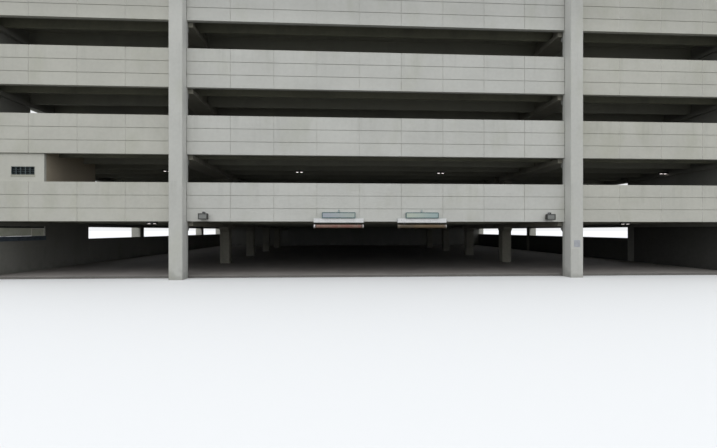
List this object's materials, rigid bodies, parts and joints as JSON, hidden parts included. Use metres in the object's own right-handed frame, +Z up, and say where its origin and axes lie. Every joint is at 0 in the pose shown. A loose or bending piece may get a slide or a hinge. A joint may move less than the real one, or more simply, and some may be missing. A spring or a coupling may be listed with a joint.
{
  "type": "precast concrete parking garage",
  "caption": "Open multi-storey parking garage of precast concrete, with grooved spandrels, double-tee decks on girders and hanging clearance bars over its entrance.",
  "frame": {"origin": "on the ground at the middle of the footprint", "axes": "+X along the front to the right, +Y from the front to the back, +Z up"},
  "size_m": [37.14, 38.04, 13.53],
  "materials": {
    "facade_concrete": "fine, lightly sandblasted",
    "deck_concrete": "plain cast",
    "floor_concrete": "broomed",
    "room_wall": "painted",
    "room_return": "painted dark brown",
    "coping_metal": "satin",
    "louvre_metal": "anodised dark",
    "sign_case": "satin",
    "bar_left_plastic": "weathered",
    "bar_right_plastic": "weathered",
    "cap_plastic": "matte",
    "galvanised_steel": "dull",
    "floodlight_metal": "matte",
    "board_plastic": "matte",
    "lamp_plastic": "frosted"
  },
  "bodies": {
    "garage": {"ground_slab": "floor_concrete", "front_column_1": "facade_concrete", "front_column_2": "facade_concrete", "front_column_3": "facade_concrete", "front_column_4": "facade_concrete", "back_columns": "facade_concrete", "side_columns": "facade_concrete", "back_spandrels": "facade_concrete", "left_spandrels": "facade_concrete", "right_spandrels": "facade_concrete", "left_ground_walls": "facade_concrete", "right_ground_walls": "facade_concrete", "back_ground_walls": "facade_concrete", "interior_columns": "deck_concrete", "girders_level_2": "deck_concrete", "deck_level_2": "deck_concrete", "front_spandrels_level_2": "facade_concrete", "girders_level_3": "deck_concrete", "deck_level_3": "deck_concrete", "front_spandrels_level_3": "facade_concrete", "girders_level_4": "deck_concrete", "deck_level_4": "deck_concrete", "front_spandrels_level_4": "facade_concrete", "girders_level_5": "deck_concrete", "deck_level_5": "deck_concrete", "front_spandrels_level_5": "facade_concrete", "room_front_wall": "room_wall", "room_left_wall": "room_wall", "room_side_wall": "room_return", "room_back_wall": "room_return", "room_louvre": "louvre_metal", "left_wall_coping": "coping_metal", "sign_left": "sign_case", "sign_right": "sign_case", "bar_brackets": "galvanised_steel", "floodlights": "floodlight_metal", "direction_board": "board_plastic", "ceiling_lights": "lamp_plastic"},
    "left_bar": {"clearance_bar_left": "bar_left_plastic", "bar_caps_left": "cap_plastic", "bar_straps_left": "galvanised_steel"},
    "right_bar": {"clearance_bar_right": "bar_right_plastic", "bar_caps_right": "cap_plastic", "bar_straps_right": "galvanised_steel"}
  },
  "joints": [
    {"name": "left_bar_swing", "type": "hinge", "parent": "garage", "child": "left_bar", "pos_m": [-1.94, -18.615, 2.518], "axis": [1, 0, 0], "range_deg": [-60, 60]},
    {"name": "right_bar_swing", "type": "hinge", "parent": "garage", "child": "right_bar", "pos_m": [1.94, -18.615, 2.518], "axis": [1, 0, 0], "range_deg": [-60, 60]}
  ]
}
